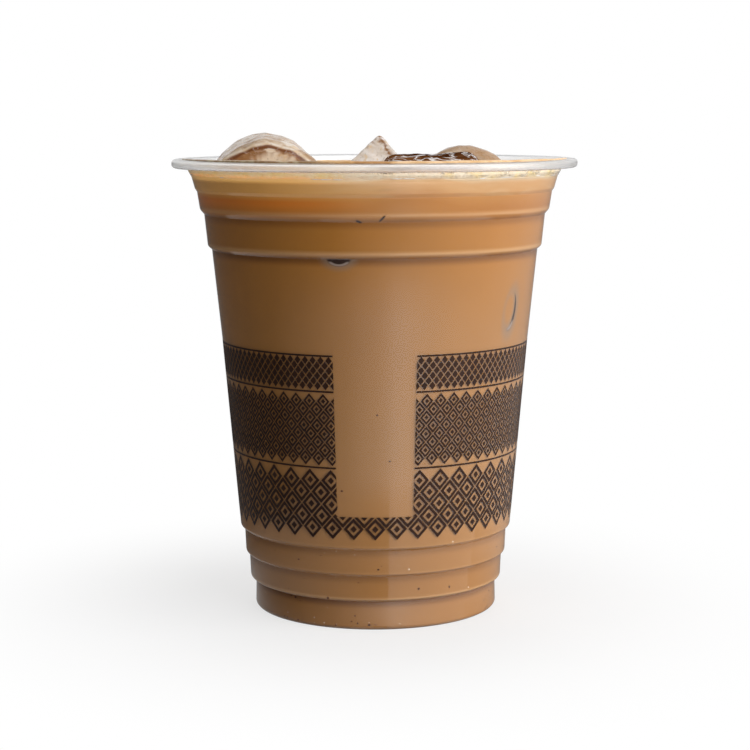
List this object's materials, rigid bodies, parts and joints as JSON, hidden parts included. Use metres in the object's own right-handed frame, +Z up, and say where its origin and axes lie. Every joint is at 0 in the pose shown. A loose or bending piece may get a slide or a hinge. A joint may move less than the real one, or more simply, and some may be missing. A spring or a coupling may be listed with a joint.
{
  "type": "iced coffee drink in a clear plastic cup",
  "caption": "Clear disposable cup with rolled rim and stacking rings, filled with milky iced coffee, froth and floating ice.",
  "frame": {"origin": "centre of the circle on which the foot ring stands", "axes": "+Z up along the cup's axis; -Y faces the viewer, towards the bare window in the print; +X to the viewer's right"},
  "size_m": [0.098, 0.098, 0.1157],
  "materials": {
    "clear_plastic": "clear thermoformed sheet, glossy",
    "mocha": "opaque milky coffee, wet",
    "froth": "fine coffee foam with bubbles",
    "ice": "wet melting ice stained with coffee",
    "print_ink": "dark brown printing ink, satin"
  },
  "bodies": {
    "root": {"cup": "clear_plastic", "mocha_drink": "mocha", "froth": "froth", "ice_left": "ice", "ice_centre": "ice", "ice_front": "ice", "ice_right": "ice"}
  },
  "joints": []
}
